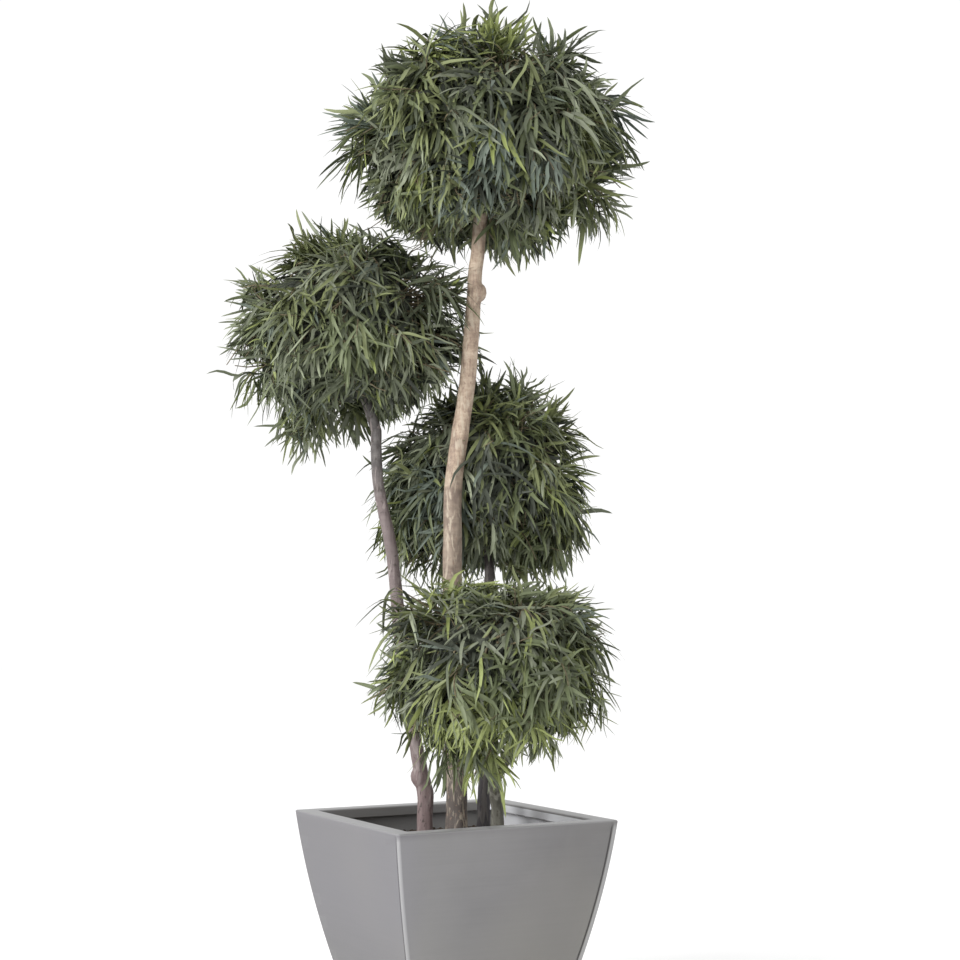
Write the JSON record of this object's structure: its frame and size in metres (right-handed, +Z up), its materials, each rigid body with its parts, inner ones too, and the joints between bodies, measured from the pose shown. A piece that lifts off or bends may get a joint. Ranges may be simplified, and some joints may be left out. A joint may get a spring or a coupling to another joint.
{
  "type": "potted ball topiary",
  "caption": "Tall preserved ball topiary with round heads of long narrow leaves on separate slender stems, standing in a square zinc planter that tapers to its base",
  "frame": {"origin": "centre of the planter's flat underside, at floor level", "axes": "+Z up along the plant's height; -Y out of the planter's broad front face, the one on the right in the picture; -X out of the narrow-looking face on the picture's left"},
  "size_m": [1.0085, 1.027, 2.5684],
  "materials": {
    "planter_zinc": "matt brushed zinc, slightly mottled",
    "potting_soil": "dark crumbly soil, dry",
    "tan_bark": "light tan bark, finely furrowed",
    "grey_bark": "grey-brown bark, smooth with knots",
    "foliage": "matt preserved leaves, grey-green to olive"
  },
  "bodies": {
    "root": {"planter": "planter_zinc", "soil": "potting_soil", "trunk": "tan_bark", "left_stem": "grey_bark", "back_stem": "grey_bark", "front_stem": "grey_bark", "top_head": "foliage", "left_head": "foliage", "middle_head": "foliage", "low_head": "foliage"}
  },
  "joints": []
}
